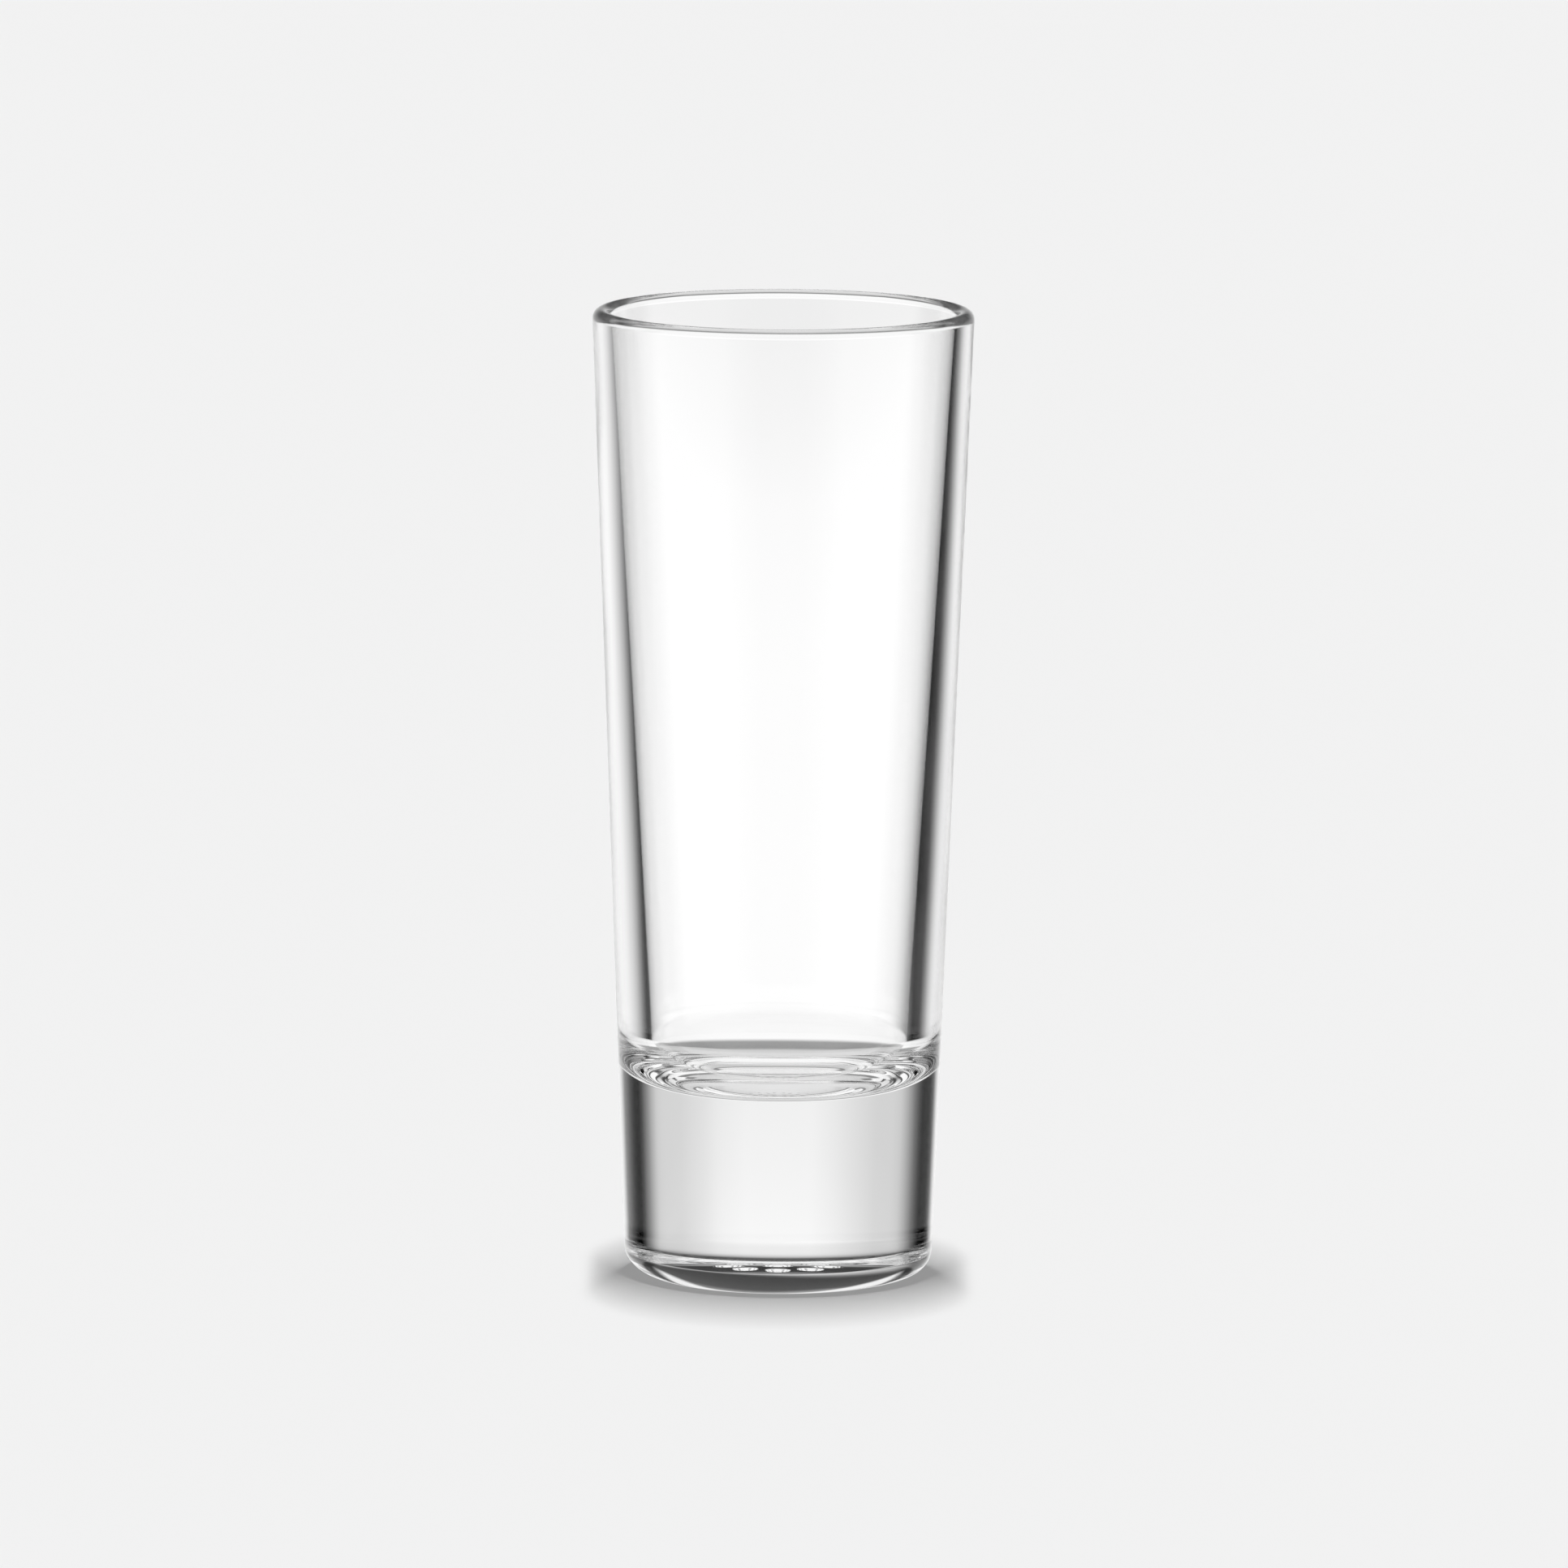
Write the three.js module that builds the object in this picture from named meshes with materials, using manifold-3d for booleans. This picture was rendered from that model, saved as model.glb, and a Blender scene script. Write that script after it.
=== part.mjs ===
// Liqueur glass: a tall, slightly tapered drinking glass pressed in one piece of clear glass,
// with a heavy solid base, a fully rounded lip and a domed hollow under the foot.
// Millimetres, +Z up. The origin is the centre of the flat ring that the glass stands on.

import * as THREE from 'three';
import { mergeVertices } from 'three/addons/utils/BufferGeometryUtils.js';
import Module from 'manifold-3d';

// Outside
const HEIGHT = 105;
const RIM_DIAMETER = 41.1; // across the widest part of the lip
const FOOT_DIAMETER = 33.1; // where the line of the side wall meets the table
const HEEL_RADIUS = 2.7; // rounding between the side wall and the standing ring

// Bowl
const LIP_THICKNESS = 2; // the lip is a half round of this width
const BOWL_FOOT_WALL = 3.4; // side wall next to the bowl's floor
const BASE_THICKNESS = 20.4; // solid glass from the table to the middle of the bowl's floor
const BOWL_CORNER_RADIUS = 6.5; // between the bowl's wall and its floor
const BOWL_FLOOR_RADIUS = 150; // the floor is a shallow dish of this radius

// Underside
const STANDING_RING_WIDTH = 1.2; // flat ring that touches the table
const HOLLOW_DEPTH = 1.8; // domed hollow inside the standing ring
const DOT_COUNT = 8; // raised mould dots in a ring, with one more in the middle
const DOT_RING_DIAMETER = 7;
const DOT_DIAMETER = 2;
const DOT_HEIGHT = 0.6;

// Fineness of the faceted solid
const SIDES = 48;
const ARC_STEPS = 4; // each arc of the outline has twice this many chords
const DOT_SIDES = 10;
const DOT_RINGS = 6;
const WELD_DISTANCE = 0.0001;

const GLASS_COLOUR = 0xf3f6f5;
const GLASS_ROUGHNESS = 0.02;
const GLASS_OPACITY = 0.35;

const wasm = await Module();
wasm.setup();

// Turn a closed mesh into a solid: weld its shared corners and drop the triangles that have no area.
function solidFrom(geometry) {
  geometry.deleteAttribute('normal');
  geometry.deleteAttribute('uv');
  const welded = mergeVertices(geometry, WELD_DISTANCE);
  const corners = welded.index.array;
  const triangles = [];
  for (let i = 0; i < corners.length; i += 3) {
    const [a, b, c] = corners.slice(i, i + 3);
    if (a !== b && b !== c && c !== a) triangles.push(a, b, c);
  }
  return new wasm.Manifold(new wasm.Mesh({
    numProp: 3,
    vertProperties: welded.attributes.position.array,
    triVerts: new Uint32Array(triangles),
  }));
}

function geometryFrom(solid) {
  const mesh = solid.getMesh();
  const geometry = new THREE.BufferGeometry();
  geometry.setAttribute('position', new THREE.BufferAttribute(mesh.vertProperties, mesh.numProp));
  geometry.setIndex(new THREE.BufferAttribute(mesh.triVerts, 1));
  geometry.computeVertexNormals();
  return geometry;
}

// The outer wall is a straight cone from the foot's edge, touching the round of the lip.
const lipRadius = LIP_THICKNESS / 2;
const lip = new THREE.Vector2(RIM_DIAMETER / 2 - lipRadius, HEIGHT - lipRadius);
const footEdge = new THREE.Vector2(FOOT_DIAMETER / 2, 0);
const footToLip = lip.clone().sub(footEdge);
const outerLean = Math.atan2(footToLip.x, footToLip.y) + Math.asin(lipRadius / footToLip.length());

// The heel is an arc that touches the table and the outer wall.
const heelInset = HEEL_RADIUS * (1 - Math.sin(outerLean)) / Math.cos(outerLean);
const heel = new THREE.Vector2(footEdge.x - heelInset, HEEL_RADIUS);

// The hollow is a spherical dome inside the standing ring.
const hollowEdge = heel.x - STANDING_RING_WIDTH;
const hollowRadius = (hollowEdge ** 2 + HOLLOW_DEPTH ** 2) / (2 * HOLLOW_DEPTH);
const hollowCentreZ = HOLLOW_DEPTH - hollowRadius;

// The bowl's corner is an arc that touches the dish of the floor and stands one wall inside the cone.
const bowlFootRadius = footEdge.x + BASE_THICKNESS * Math.tan(outerLean) - BOWL_FOOT_WALL;
const cornerX = bowlFootRadius - BOWL_CORNER_RADIUS;
const floorCentreZ = BASE_THICKNESS + BOWL_FLOOR_RADIUS;
const cornerDrop = Math.sqrt((BOWL_FLOOR_RADIUS - BOWL_CORNER_RADIUS) ** 2 - cornerX ** 2);
const corner = new THREE.Vector2(cornerX, floorCentreZ - cornerDrop);
const floorTurn = Math.atan2(corner.x, cornerDrop);

// The bowl's wall is the straight line that touches its corner and the inside of the lip.
const cornerToLip = lip.clone().sub(corner);
const innerTouch = Math.asin((BOWL_CORNER_RADIUS + lipRadius) / cornerToLip.length());
const innerLean = Math.atan2(cornerToLip.x, cornerToLip.y) - innerTouch;

// Half of the glass's section, from the middle of the underside to the middle of the bowl's floor.
function glassOutline() {
  const down = -Math.PI / 2;
  const up = Math.PI / 2;
  const outline = new THREE.Path();
  outline.moveTo(0, HOLLOW_DEPTH);
  outline.absarc(0, hollowCentreZ, hollowRadius, up, Math.acos(hollowEdge / hollowRadius), true);
  outline.absarc(heel.x, heel.y, HEEL_RADIUS, down, -outerLean, false);
  outline.absarc(lip.x, lip.y, lipRadius, -outerLean, Math.PI - innerLean, false);
  outline.absarc(corner.x, corner.y, BOWL_CORNER_RADIUS, -innerLean, down + floorTurn, true);
  outline.absarc(0, floorCentreZ, BOWL_FLOOR_RADIUS, down + floorTurn, down, true);
  const points = outline.getPoints(ARC_STEPS);
  points[0].x = 0;
  points[points.length - 1].x = 0;
  return points;
}

// A raised dot is a cap of a ball that is sunk into the hollow's surface.
function mouldDot(distance, angle) {
  const ballRadius = ((DOT_DIAMETER / 2) ** 2 + DOT_HEIGHT ** 2) / (2 * DOT_HEIGHT);
  const surfaceZ = hollowCentreZ + Math.sqrt(hollowRadius ** 2 - distance ** 2);
  const ball = new THREE.SphereGeometry(ballRadius, DOT_SIDES, DOT_RINGS);
  ball.rotateX(Math.PI / 2);
  ball.translate(distance * Math.cos(angle), distance * Math.sin(angle), surfaceZ + ballRadius - DOT_HEIGHT);
  return solidFrom(ball);
}

function glassGeometry() {
  const body = new THREE.LatheGeometry(glassOutline(), SIDES);
  body.rotateX(Math.PI / 2);
  let solid = solidFrom(body).add(mouldDot(0, 0));
  for (let i = 0; i < DOT_COUNT; i += 1) {
    solid = solid.add(mouldDot(DOT_RING_DIAMETER / 2, i * 2 * Math.PI / DOT_COUNT));
  }
  return geometryFrom(solid);
}

const clearGlass = new THREE.MeshStandardMaterial({
  color: GLASS_COLOUR,
  roughness: GLASS_ROUGHNESS,
  metalness: 0,
  transparent: true,
  opacity: GLASS_OPACITY,
});

const glass = new THREE.Mesh(glassGeometry(), clearGlass);
glass.name = 'glass';

const liqueurGlass = new THREE.Group();
liqueurGlass.add(glass);

export default liqueurGlass;
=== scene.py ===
from math import asin, atan2, cos, hypot, pi, radians, sin, sqrt, tan

import bmesh
import bpy
from bpy.props import FloatProperty, FloatVectorProperty, IntProperty, PointerProperty
from bpy.types import Operator, Panel, PropertyGroup
from mathutils import Matrix, Vector


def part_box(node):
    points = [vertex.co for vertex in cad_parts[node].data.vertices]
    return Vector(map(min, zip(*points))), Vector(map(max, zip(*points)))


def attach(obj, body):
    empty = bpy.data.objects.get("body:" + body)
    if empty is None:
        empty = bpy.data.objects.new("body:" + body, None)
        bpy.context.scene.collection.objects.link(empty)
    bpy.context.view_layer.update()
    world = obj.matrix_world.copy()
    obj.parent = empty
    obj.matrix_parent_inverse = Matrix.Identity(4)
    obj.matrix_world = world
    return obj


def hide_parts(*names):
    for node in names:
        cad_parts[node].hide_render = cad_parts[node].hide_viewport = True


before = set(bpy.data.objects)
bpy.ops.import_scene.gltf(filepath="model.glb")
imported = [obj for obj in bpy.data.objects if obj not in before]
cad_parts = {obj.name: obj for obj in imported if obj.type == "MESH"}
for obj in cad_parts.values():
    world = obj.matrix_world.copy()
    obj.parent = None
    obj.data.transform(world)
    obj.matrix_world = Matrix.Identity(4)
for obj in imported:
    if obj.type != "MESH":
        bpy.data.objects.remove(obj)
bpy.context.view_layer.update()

bl_info = {
    "name": "Liqueur Glass",
    "version": (1, 0, 0),
    "blender": (4, 5, 0),
    "location": "3D View > Sidebar > Liqueur Glass",
    "description": "Builds a pressed liqueur glass and the light tent that it is photographed in",
    "category": "Add Mesh",
}

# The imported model's box gives the glass's height and the width of its rim.
GLASS_LOW, GLASS_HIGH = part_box("glass")
MM = 0.001
SHORT_EDGE = 0.02 * MM


def length(name, description, default):
    return FloatProperty(name=name, description=description, default=default, min=0.0, unit="LENGTH",
                         precision=5)


def angle(name, description, degrees):
    return FloatProperty(name=name, description=description, default=radians(degrees), unit="ROTATION")


def colour(name, description, default):
    return FloatVectorProperty(name=name, description=description, default=default, size=4,
                               subtype="COLOR", min=0.0, max=1.0)


def number(name, description, default):
    return FloatProperty(name=name, description=description, default=default, precision=4)


class GlassSizes(PropertyGroup):
    """Sizes of the pressed glass."""

    height: length("Height", "From the table to the top of the lip", GLASS_HIGH[2] - GLASS_LOW[2])
    rim_diameter: length("Rim", "Across the widest part of the lip", GLASS_HIGH[0] - GLASS_LOW[0])
    foot_diameter: length("Foot", "Where the line of the side wall meets the table", 33.1 * MM)
    heel_radius: length("Heel", "Rounding between the side wall and the standing ring", 2.7 * MM)
    heel_flat: number("Heel's flat side", "Curve of the heel on its flat side: 1 is a bevel, 2 a round", 1.15)
    heel_full: number("Heel's full side", "Curve of the heel on the other side: more than 2 is fuller", 2.7)
    heel_turn: angle("Heel's flat side turn", "From the front towards the left, where the heel is flattest", 15.0)
    lip_thickness: length("Lip", "The lip is a half round of this width", 2.0 * MM)
    bowl_foot_wall: length("Wall at the floor", "Side wall next to the bowl's floor", 3.4 * MM)
    base_thickness: length("Base", "Solid glass under the middle of the bowl's floor", 20.4 * MM)
    bowl_corner_radius: length("Bowl corner", "Between the bowl's wall and its floor", 6.5 * MM)
    bowl_floor_radius: length("Bowl floor", "The floor is a shallow dish of this radius", 150.0 * MM)
    standing_ring_width: length("Standing ring", "Flat ring that touches the table", 1.2 * MM)
    hollow_depth: length("Hollow", "Depth of the domed hollow under the foot", 1.8 * MM)
    dot_count: IntProperty(name="Mould dots", description="Raised dots in a ring, and one in the middle",
                           default=8, min=0)
    dot_ring_diameter: length("Dot ring", "Across the middles of the ring of dots", 7.0 * MM)
    dot_diameter: length("Dot", "Width of one raised dot", 2.0 * MM)
    dot_height: length("Dot height", "How far a dot stands out of the hollow", 0.6 * MM)


class GlassFinish(PropertyGroup):
    """Look of the clear glass."""

    tint: colour("Tint", "Colour of the light that the glass lets through", (1.0, 1.0, 1.0, 1.0))
    ior: number("Refraction", "Index of refraction of soda-lime glass", 1.52)
    roughness: number("Roughness", "Fire-polished glass is close to zero", 0.0)
    ripple_height: length("Ripple", "Height of the faint ripple that pressing leaves", 0.04 * MM)
    ripple_width: length("Ripple width", "Width of one wave of the ripple", 16.0 * MM)


class StageSettings(PropertyGroup):
    """Floor, light tent and camera."""

    background: number("Background", "Grey of the floor and the background in the picture", 0.888)
    camera_distance: length("Camera distance", "From the glass's axis, along the table", 1.5)
    camera_height: length("Camera height", "Above the table", 0.27325)
    camera_lens: FloatProperty(name="Lens", description="Focal length of the camera", default=322.2,
                               unit="CAMERA")
    camera_roll: angle("Camera roll", "The picture leans a little", 0.34)
    aim_side: length("Aim side", "How far right of the axis the camera aims", 0.35 * MM)
    aim_height: length("Aim height", "How high on the glass the camera aims", 53.4 * MM)
    overhead: number("Overhead share", "Share of the floor's light that comes from the overhead strip", 0.66)
    overhead_angle: angle("Overhead width", "How wide the overhead strip looks from the floor", 1.2)
    overhead_front: angle("Overhead front end", "Tilt of the strip's front end", -5.0)
    overhead_back: angle("Overhead back end", "Tilt of the strip's back end", 7.5)
    overhead_lamps: IntProperty(name="Overhead lamps", description="Lamps in the overhead strip", default=9,
                                min=2)


# Half of the glass's section is drawn as a wire in the XZ plane, on the +X side of the axis.
def draw_line(bm, vert, x, z, steps=1):
    """Draw a straight stretch and return its end. Short edges at both ends keep its shading flat."""
    start, reach = vert.co.copy(), Vector((x, 0.0, z)) - vert.co
    short = SHORT_EDGE / reach.length
    for share in [short + i / steps * (1 - 2 * short) for i in range(steps + 1)] + [1.0]:
        vert = bmesh.ops.extrude_vert_indiv(bm, verts=[vert])["verts"][0]
        vert.co = start + share * reach
    return vert


def draw_arc(bm, vert, centre, turn, steps):
    """Swing the outline's end round a centre and return its new end. A positive turn runs from X to Z."""
    spun = bmesh.ops.spin(bm, geom=[vert], cent=(centre[0], 0.0, centre[1]), axis=(0.0, -1.0, 0.0),
                          angle=turn, steps=steps)
    return [item for item in spun["geom_last"] if isinstance(item, bmesh.types.BMVert)][0]


class GLASS_OT_press(Operator):
    """Press the glass: draw half of its section, turn it round the axis and raise the mould dots."""

    bl_idname = "liqueur_glass.press"
    bl_label = "Press the glass"

    SIDES = 256
    HOLLOW_STEPS = 90
    HEEL_STEPS = 40
    LIP_STEPS = 28
    CORNER_STEPS = 40
    FLOOR_STEPS = 30
    WALL_STEPS = 12
    WELD = 1e-7

    def execute(self, context):
        s = context.scene.liqueur_glass_sizes
        up = pi / 2

        # The outer wall leans out from the foot's edge and touches the round of the lip.
        lip_radius = s.lip_thickness / 2
        lip = (s.rim_diameter / 2 - lip_radius, s.height - lip_radius)
        foot_edge = s.foot_diameter / 2
        outer_lean = (atan2(lip[0] - foot_edge, lip[1])
                      + asin(lip_radius / hypot(lip[0] - foot_edge, lip[1])))
        heel_x = foot_edge - s.heel_radius * (1 - sin(outer_lean)) / cos(outer_lean)
        hollow_edge = heel_x - s.standing_ring_width
        hollow_radius = (hollow_edge ** 2 + s.hollow_depth ** 2) / (2 * s.hollow_depth)
        hollow_turn = asin(hollow_edge / hollow_radius)

        # The bowl's corner touches the dish of the floor, one wall inside the cone.
        corner_x = foot_edge + s.base_thickness * tan(outer_lean) - s.bowl_foot_wall - s.bowl_corner_radius
        floor_centre = s.base_thickness + s.bowl_floor_radius
        corner_drop = sqrt((s.bowl_floor_radius - s.bowl_corner_radius) ** 2 - corner_x ** 2)
        corner = (corner_x, floor_centre - corner_drop)
        floor_turn = atan2(corner_x, corner_drop)
        reach = (lip[0] - corner[0], lip[1] - corner[1])
        inner_lean = atan2(*reach) - asin((s.bowl_corner_radius + lip_radius) / hypot(*reach))

        bm = bmesh.new()
        end = bm.verts.new((0.0, 0.0, s.hollow_depth))
        end = draw_arc(bm, end, (0.0, s.hollow_depth - hollow_radius), -hollow_turn, self.HOLLOW_STEPS)
        end = draw_line(bm, end, heel_x, 0.0)
        end = draw_arc(bm, end, (heel_x, s.heel_radius), up - outer_lean, self.HEEL_STEPS)
        end = draw_line(bm, end, lip[0] + lip_radius * cos(outer_lean), lip[1] - lip_radius * sin(outer_lean),
                        self.WALL_STEPS)
        end = draw_arc(bm, end, lip, pi + outer_lean - inner_lean, self.LIP_STEPS)
        end = draw_line(bm, end, corner[0] + s.bowl_corner_radius * cos(inner_lean),
                        corner[1] - s.bowl_corner_radius * sin(inner_lean), self.WALL_STEPS)
        end = draw_arc(bm, end, corner, inner_lean + floor_turn - up, self.CORNER_STEPS)
        end = draw_arc(bm, end, (0.0, floor_centre), -floor_turn, self.FLOOR_STEPS)
        end.co.x = 0.0

        bmesh.ops.spin(bm, geom=bm.verts[:] + bm.edges[:], cent=(0.0, 0.0, 0.0), axis=(0.0, 0.0, 1.0),
                       angle=2 * pi, steps=self.SIDES, use_merge=True)
        bmesh.ops.remove_doubles(bm, verts=bm.verts, dist=self.WELD)
        self.shape_heel(bm, s, heel_x, outer_lean)
        self.raise_dots(bm, s)
        bmesh.ops.recalc_face_normals(bm, faces=bm.faces)
        for face in bm.faces:
            face.smooth = True

        mesh = bpy.data.meshes.new("liqueur_glass")
        bm.to_mesh(mesh)
        bm.free()
        glass = bpy.data.objects.new("liqueur_glass", mesh)
        context.scene.collection.objects.link(glass)
        # The soft light from all round reaches the floor through the glass.
        glass.visible_diffuse = False
        mesh.materials.append(clear_glass(context.scene.liqueur_glass_finish))
        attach(glass, "root")
        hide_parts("glass")
        return {"FINISHED"}

    @staticmethod
    def shape_heel(bm, s, heel_x, outer_lean):
        """Press the round of the heel uneven: a bevel on one side of the foot, a fuller curve on the other."""
        bottom = Vector((heel_x, 0.0))
        top = bottom + s.heel_radius * Vector((cos(outer_lean), 1 - sin(outer_lean)))
        centre = bottom + top - Vector((s.foot_diameter / 2, 0.0))
        flattest = Vector((-sin(s.heel_turn), -cos(s.heel_turn)))
        for vert in bm.verts:
            radius = vert.co.xy.length
            if radius < heel_x or vert.co.z > top.y:
                continue
            side = vert.co.xy / radius
            turn = atan2(s.heel_radius - vert.co.z, radius - heel_x) - outer_lean
            turn = min(max(turn / (pi / 2 - outer_lean), 0.0), 1.0) * pi / 2
            curve = s.heel_full + (s.heel_flat - s.heel_full) * (1 + side.dot(flattest)) / 2
            place = (centre + cos(turn) ** (2 / curve) * (top - centre)
                     + sin(turn) ** (2 / curve) * (bottom - centre))
            vert.co = (place.x * side.x, place.x * side.y, place.y)

    @staticmethod
    def raise_dots(bm, s):
        """Raise the round mould dots out of the hollow under the foot."""
        ring = s.dot_ring_diameter / 2
        places = [Vector((0.0, 0.0))]
        for i in range(s.dot_count):
            turn = i * 2 * pi / s.dot_count
            places.append(Vector((ring * cos(turn), ring * sin(turn))))
        for vert in bm.verts:
            if vert.co.z > s.hollow_depth + s.dot_height:
                continue
            for place in places:
                share = (vert.co.xy - place).length / (s.dot_diameter / 2)
                if share < 1.0:
                    vert.co.z -= s.dot_height * (1 - share ** 2)


def clear_glass(finish):
    """Clear fire-polished glass with a faint ripple."""
    material = bpy.data.materials.new("clear_glass")
    material.use_nodes = True
    nodes, links = material.node_tree.nodes, material.node_tree.links
    shader = nodes["Principled BSDF"]
    shader.inputs["Base Color"].default_value = finish.tint
    shader.inputs["Roughness"].default_value = finish.roughness
    shader.inputs["IOR"].default_value = finish.ior
    shader.inputs["Transmission Weight"].default_value = 1.0
    place = nodes.new("ShaderNodeTexCoord")
    waves = nodes.new("ShaderNodeTexNoise")
    waves.inputs["Scale"].default_value = 1.0 / finish.ripple_width
    waves.inputs["Detail"].default_value = 0.0
    links.new(place.outputs["Object"], waves.inputs["Vector"])
    ripple = nodes.new("ShaderNodeBump")
    ripple.inputs["Distance"].default_value = finish.ripple_height
    links.new(waves.outputs[0], ripple.inputs["Height"])
    links.new(ripple.outputs[0], shader.inputs["Normal"])
    return material


class GLASS_OT_stage(Operator):
    """Set the glass on a pale floor in a light tent with two dark flags, and aim the camera."""

    bl_idname = "liqueur_glass.stage"
    bl_label = "Set the stage"

    FLOOR_RADIUS = 6.0
    FLOOR_SIDES = 96
    TENT_RADIUS = 60.0
    TENT_SIDES = 96
    TENT_RINGS = 64
    SENSOR_WIDTH = 36.0
    NEAREST_SEEN = 0.01
    # Light runs far inside the wall before it leaves.
    BOUNCES = 256

    def execute(self, context):
        stage = context.scene.liqueur_glass_stage
        self.aim_camera(context, stage)
        self.lay_floor(context, stage)
        self.hang_tent(context)
        self.light(context, stage)
        context.scene.world = studio(stage)
        context.scene.view_settings.view_transform = "Standard"
        context.scene.cycles.max_bounces = self.BOUNCES
        context.scene.cycles.transmission_bounces = self.BOUNCES
        context.scene.cycles.glossy_bounces = self.BOUNCES
        context.scene.cycles.caustics_refractive = False
        context.scene.cycles.caustics_reflective = False
        return {"FINISHED"}

    def hang_tent(self, context):
        bm = bmesh.new()
        bmesh.ops.create_uvsphere(bm, u_segments=self.TENT_SIDES, v_segments=self.TENT_RINGS,
                                  radius=self.TENT_RADIUS)
        mesh = bpy.data.meshes.new("tent")
        bm.to_mesh(mesh)
        bm.free()
        mesh.materials.append(tent_cloth())
        tent = bpy.data.objects.new("tent", mesh)
        context.scene.collection.objects.link(tent)
        tent.visible_camera = False
        tent.visible_diffuse = False
        tent.visible_shadow = False

    def aim_camera(self, context, stage):
        data = bpy.data.cameras.new("camera")
        camera = bpy.data.objects.new("camera", data)
        context.scene.collection.objects.link(camera)
        context.scene.camera = camera
        camera.location = (0.0, -stage.camera_distance, stage.camera_height)
        data.sensor_width = self.SENSOR_WIDTH
        data.sensor_fit = "HORIZONTAL"
        data.lens = stage.camera_lens
        aim = Vector((stage.aim_side, 0.0, stage.aim_height)) - camera.location
        view = aim.to_track_quat("-Z", "Y").to_matrix() @ Matrix.Rotation(stage.camera_roll, 3, "Z")
        camera.rotation_euler = view.to_euler()
        data.clip_start = self.NEAREST_SEEN

    def lay_floor(self, context, stage):
        bm = bmesh.new()
        bmesh.ops.create_circle(bm, cap_ends=True, segments=self.FLOOR_SIDES, radius=self.FLOOR_RADIUS)
        mesh = bpy.data.meshes.new("floor")
        bm.to_mesh(mesh)
        bm.free()
        floor = bpy.data.objects.new("floor", mesh)
        context.scene.collection.objects.link(floor)
        # The glass sees the table painted on the tent, with its painted shade, instead of this floor.
        floor.visible_transmission = False
        floor.visible_glossy = False
        material = bpy.data.materials.new("floor")
        material.use_nodes = True
        nodes, links = material.node_tree.nodes, material.node_tree.links
        nodes.clear()
        out = nodes.new("ShaderNodeOutputMaterial")
        diffuse = nodes.new("ShaderNodeBsdfDiffuse")
        grey = stage.background
        diffuse.inputs["Color"].default_value = (grey, grey, grey, 1.0)
        links.new(diffuse.outputs[0], out.inputs["Surface"])
        mesh.materials.append(material)

    def light(self, context, stage):
        for i in range(stage.overhead_lamps):
            data = bpy.data.lights.new("overhead", "SUN")
            data.energy = stage.overhead * pi / stage.overhead_lamps
            data.angle = stage.overhead_angle
            lamp = bpy.data.objects.new("overhead", data)
            context.scene.collection.objects.link(lamp)
            share = i / (stage.overhead_lamps - 1)
            tilt = stage.overhead_front + share * (stage.overhead_back - stage.overhead_front)
            lamp.rotation_euler = (-tilt, 0.0, 0.0)
            lamp.visible_glossy = False
            lamp.visible_transmission = False


# The largest angles round the glass and above the horizon, in degrees.
ALL_ROUND = 180
STRAIGHT_UP = 90
# Brightness round the glass: degrees from straight behind it, towards the right of the picture.
# The white table shows wide and even, the backdrop above it fades towards its sides. A dark flag stands
# at each side of them, and plain cloth hangs beyond the flags, darker in front of the glass.
TABLE = [(-180, 0.5), (-165, 0.5), (-140, 0.8), (-80, 0.85), (-70, 0.0), (-52, 0.0), (-49, 0.07), (-45, 0.22),
         (-41, 0.4), (-37, 0.56), (-33, 0.7), (-28.5, 0.82), (-23, 0.95), (-17, 1.0), (14, 1.0), (18, 0.92),
         (21.8, 0.78), (25.8, 0.6), (29.8, 0.37), (33.8, 0.18), (37.6, 0.05), (40.5, 0.0), (70, 0.0),
         (80, 0.85), (140, 0.8), (165, 0.5), (180, 0.5)]
BACKDROP = [(-180, 0.5), (-165, 0.5), (-140, 0.8), (-80, 0.85), (-70, 0.0), (-56, 0.0), (-53, 0.05), (-49, 0.18),
            (-44, 0.46), (-39, 0.66), (-35, 0.72), (-28, 0.73), (-20, 0.83), (-14, 0.92), (-8, 1.0),
            (8, 1.0), (16, 0.93), (20, 0.85), (28, 0.75), (36, 0.73), (39, 0.68), (42, 0.5), (45, 0.3),
            (49, 0.07), (52, 0.0), (70, 0.0), (80, 0.85), (140, 0.8), (165, 0.5), (180, 0.5)]
# Brightness by height, degrees above the horizon. From 28 degrees down to straight down it is painted shade of
# the glass on the table: greyer under the glass and darkest in a band 30 to 35 degrees down.
RISE = [(-90, 0.8), (-60, 0.75), (-37, 0.6), (-35, 0.2), (-30, 0.25), (-28, 1.0), (-14, 1.0), (-10.4, 1.05),
        (-9, 1.06), (-8.4, 1.04), (-8, 1.0), (-7.7, 0.95), (-7, 0.89), (-2, 0.88), (1, 0.82), (4, 0.7), (8, 0.4),
        (11, 0.12), (14, 0.02), (26, 0.02), (34, 0.4), (46, 0.7), (56, 1.0), (90, 1.0)]
# A white panel hangs above the backdrop: how far round it reaches, and the least height at which it shows.
PANEL = [(-180, 0.0), (-48, 0.0), (-42, 1.0), (42, 1.0), (48, 0.0), (180, 0.0)]
PANEL_EDGE = (9.0, 13.0)
# Its lower edge is an arch: highest in the middle, a little to the right, and lower towards both ends.
ARCH_EDGE = (33.0, 38.0)
ARCH_BEND = 0.5
ARCH_MIDDLE = 3.0
# The table's far edge, and the nearer one within which the table is white all round the glass before RISE puts
# the painted shade on it.
TABLE_EDGE = (-9.4, -7.4)
NEAR_EDGE = (-17.0, -14.0)
# The lower edge of the soft box overhead.
BOX_EDGE = (42.0, 58.0)


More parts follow.
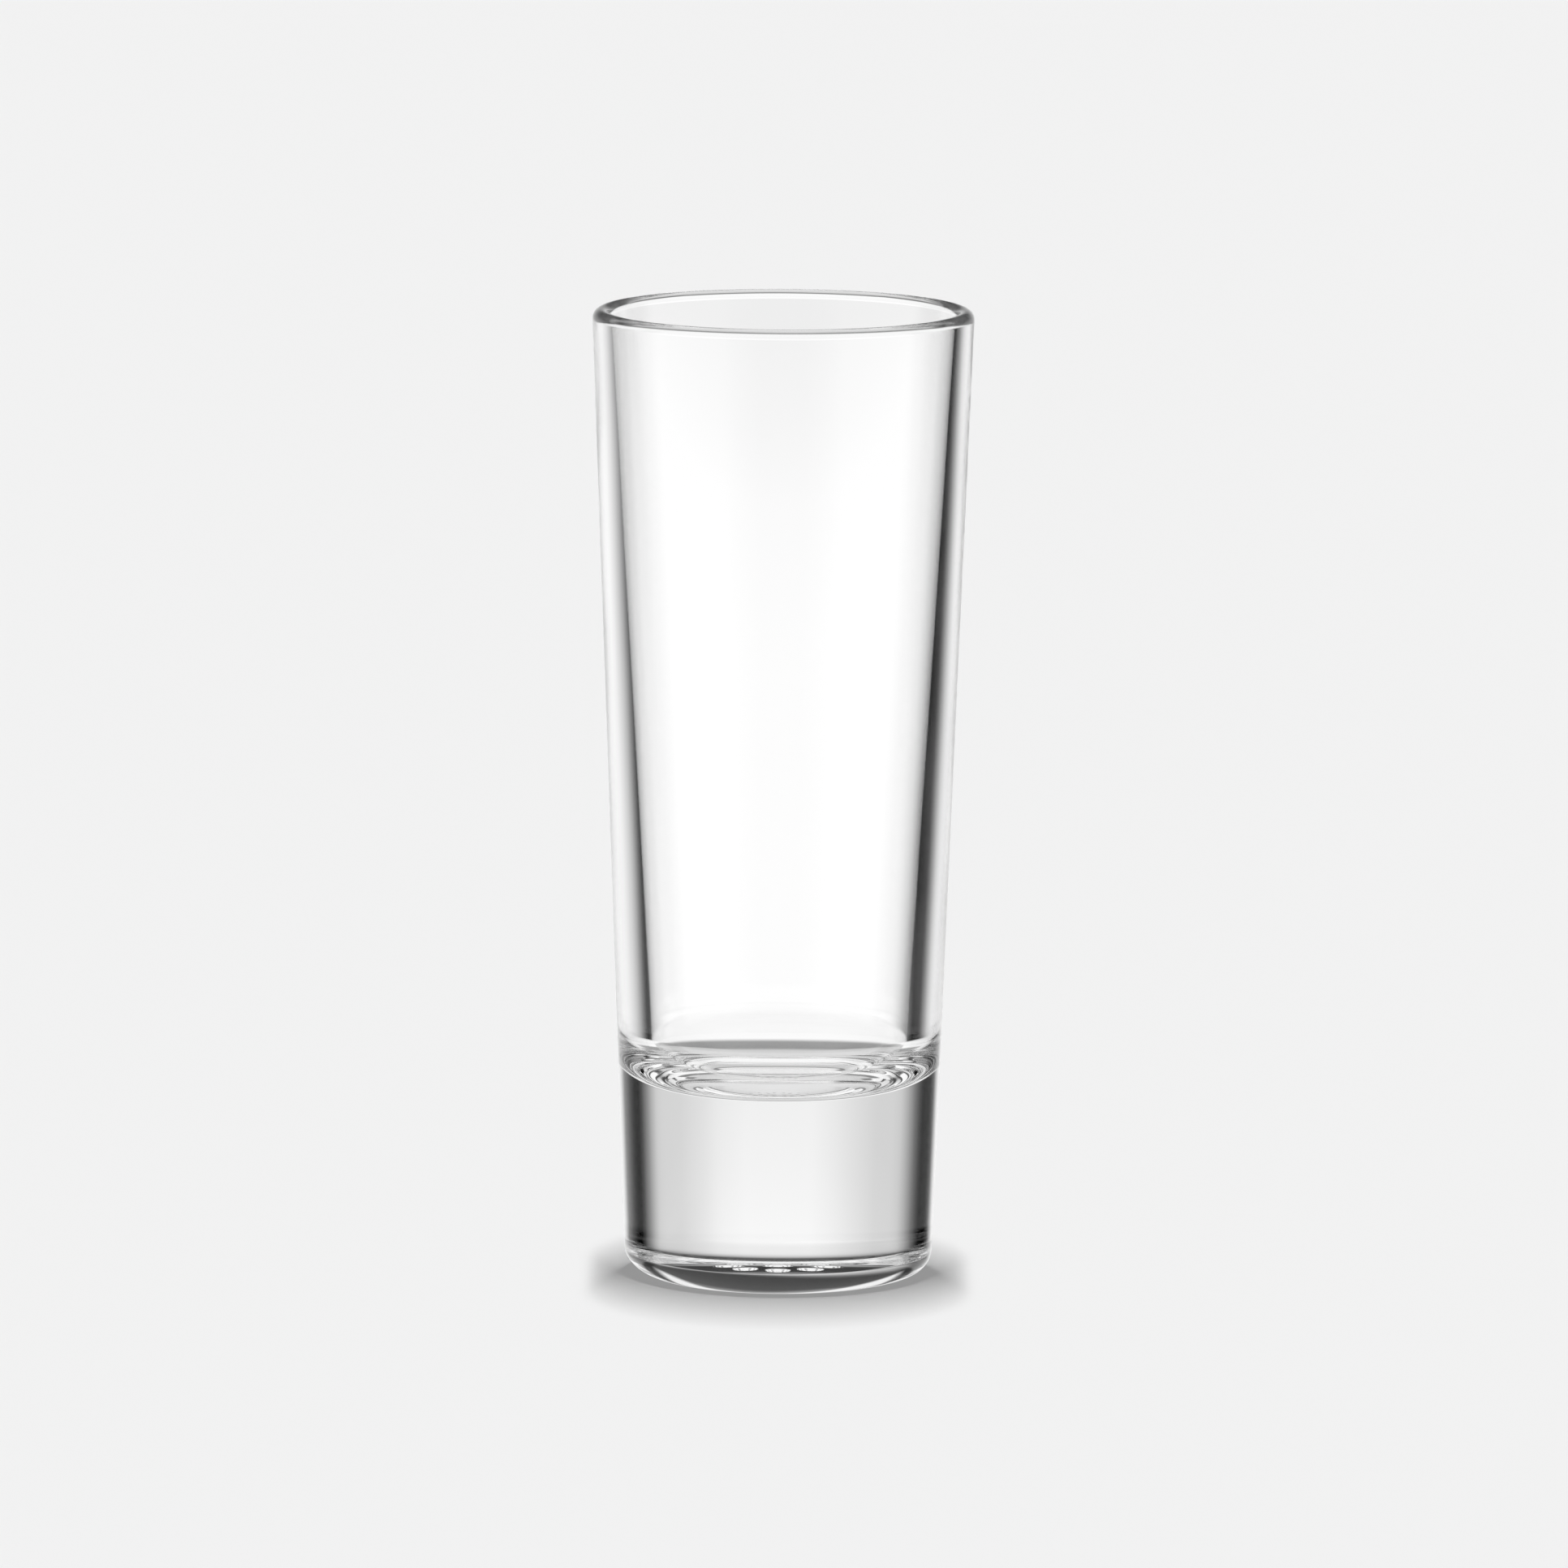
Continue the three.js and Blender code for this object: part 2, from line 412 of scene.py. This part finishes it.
def tent_cloth():
    """White table with painted shade of the glass on it, backdrop and panel behind the glass, dark flags, plain
    cloth and a soft box overhead.
    """
    material = bpy.data.materials.new("tent")
    material.use_nodes = True
    nodes, links = material.node_tree.nodes, material.node_tree.links
    nodes.clear()
    place = nodes.new("ShaderNodeTexCoord")
    direction = nodes.new("ShaderNodeVectorMath")
    direction.operation = "NORMALIZE"
    links.new(place.outputs["Object"], direction.inputs[0])
    split = nodes.new("ShaderNodeSeparateXYZ")
    links.new(direction.outputs[0], split.inputs[0])
    azimuth = reckon(material, "ARCTAN2", split.outputs["X"], split.outputs["Y"])
    elevation = reckon(material, "ARCSINE", split.outputs["Z"])

    sides = blend(material, step_up(material, elevation, TABLE_EDGE),
                  brightness(material, azimuth, ALL_ROUND, TABLE),
                  brightness(material, azimuth, ALL_ROUND, BACKDROP))
    near = blend(material, step_up(material, elevation, NEAR_EDGE), 1.0, sides)
    box = blend(material, step_up(material, elevation, BOX_EDGE), near, 1.0)
    # RISE darkens the table with the painted shade of the glass.
    cloth = reckon(material, "MULTIPLY", box, brightness(material, elevation, STRAIGHT_UP, RISE))

    aside = reckon(material, "SUBTRACT", azimuth, radians(ARCH_MIDDLE))
    aside_squared = reckon(material, "MULTIPLY", aside, aside)
    arch = reckon(material, "MULTIPLY_ADD", aside_squared, ARCH_BEND, elevation)
    hung = reckon(material, "MULTIPLY", brightness(material, azimuth, ALL_ROUND, PANEL),
                  step_up(material, elevation, PANEL_EDGE))
    panel = reckon(material, "MULTIPLY", hung, step_up(material, arch, ARCH_EDGE))

    glow = nodes.new("ShaderNodeEmission")
    links.new(reckon(material, "MAXIMUM", cloth, panel), glow.inputs["Strength"])
    out = nodes.new("ShaderNodeOutputMaterial")
    links.new(glow.outputs[0], out.inputs["Surface"])
    return material


def feed(material, socket, value):
    """Give a node's input a plain number or another node's result."""
    if isinstance(value, float):
        socket.default_value = value
    else:
        material.node_tree.links.new(value, socket)


def reckon(material, operation, *values):
    """Result of one step of arithmetic on numbers and other nodes' results."""
    node = material.node_tree.nodes.new("ShaderNodeMath")
    node.operation = operation
    for socket, value in zip(node.inputs, values):
        feed(material, socket, value)
    return node.outputs[0]


def blend(material, share, low, high):
    """Brightness that is low where the share is zero and high where it is one."""
    node = material.node_tree.nodes.new("ShaderNodeMix")
    for name, value in (("Factor", share), ("A", low), ("B", high)):
        feed(material, node.inputs[name], value)
    return node.outputs["Result"]


def step_up(material, turn, edge):
    """Zero below an edge and one above it, for an angle and the two degrees that the edge fades between."""
    step = material.node_tree.nodes.new("ShaderNodeMapRange")
    step.inputs["From Min"].default_value = radians(edge[0])
    step.inputs["From Max"].default_value = radians(edge[1])
    feed(material, step.inputs["Value"], turn)
    return step.outputs[0]


def brightness(material, turn, limit, stops):
    """Brightness by an angle, from a list of degrees and values between -limit and limit."""
    nodes, links = material.node_tree.nodes, material.node_tree.links
    share = nodes.new("ShaderNodeMapRange")
    share.inputs["From Min"].default_value = radians(-limit)
    share.inputs["From Max"].default_value = radians(limit)
    links.new(turn, share.inputs["Value"])
    ramp = nodes.new("ShaderNodeValToRGB")
    elements = ramp.color_ramp.elements
    while len(elements) < len(stops):
        elements.new(0.5)
    for element, (degrees, value) in zip(elements, stops):
        element.position = (degrees + limit) / (2 * limit)
        element.color = (value, value, value, 1.0)
    links.new(share.outputs[0], ramp.inputs["Fac"])
    return ramp.outputs["Color"]


def studio(stage):
    """Plain background for the camera, and soft light from all round for the floor."""
    world = bpy.data.worlds.new("studio")
    world.use_nodes = True
    nodes, links = world.node_tree.nodes, world.node_tree.links
    nodes.clear()
    shown = nodes.new("ShaderNodeBackground")
    shown.inputs["Color"].default_value = (stage.background, stage.background, stage.background, 1.0)
    fill = nodes.new("ShaderNodeBackground")
    fill.inputs["Color"].default_value = (1.0, 1.0, 1.0, 1.0)
    fill.inputs["Strength"].default_value = 1.0 - stage.overhead
    path = nodes.new("ShaderNodeLightPath")
    mix = nodes.new("ShaderNodeMixShader")
    links.new(path.outputs["Is Camera Ray"], mix.inputs["Fac"])
    links.new(fill.outputs[0], mix.inputs[1])
    links.new(shown.outputs[0], mix.inputs[2])
    out = nodes.new("ShaderNodeOutputWorld")
    links.new(mix.outputs[0], out.inputs["Surface"])
    return world


class GLASS_PT_panel(Panel):
    """Sizes, finish and stage of the liqueur glass."""

    bl_idname = "GLASS_PT_panel"
    bl_label = "Liqueur Glass"
    bl_space_type = "VIEW_3D"
    bl_region_type = "UI"
    bl_category = "Liqueur Glass"

    def draw(self, context):
        for group in ("liqueur_glass_sizes", "liqueur_glass_finish", "liqueur_glass_stage"):
            box = self.layout.box()
            settings = getattr(context.scene, group)
            for name in settings.__annotations__:
                box.prop(settings, name)
        for operator in (GLASS_OT_press, GLASS_OT_stage):
            self.layout.operator(operator.bl_idname)


CLASSES = (GlassSizes, GlassFinish, StageSettings, GLASS_OT_press, GLASS_OT_stage, GLASS_PT_panel)


def register():
    for item in CLASSES:
        bpy.utils.register_class(item)
    bpy.types.Scene.liqueur_glass_sizes = PointerProperty(type=GlassSizes)
    bpy.types.Scene.liqueur_glass_finish = PointerProperty(type=GlassFinish)
    bpy.types.Scene.liqueur_glass_stage = PointerProperty(type=StageSettings)


def unregister():
    del bpy.types.Scene.liqueur_glass_stage
    del bpy.types.Scene.liqueur_glass_finish
    del bpy.types.Scene.liqueur_glass_sizes
    for item in reversed(CLASSES):
        bpy.utils.unregister_class(item)


def main():
    register()
    bpy.ops.liqueur_glass.press()
    bpy.ops.liqueur_glass.stage()


if __name__ == "__main__":
    main()
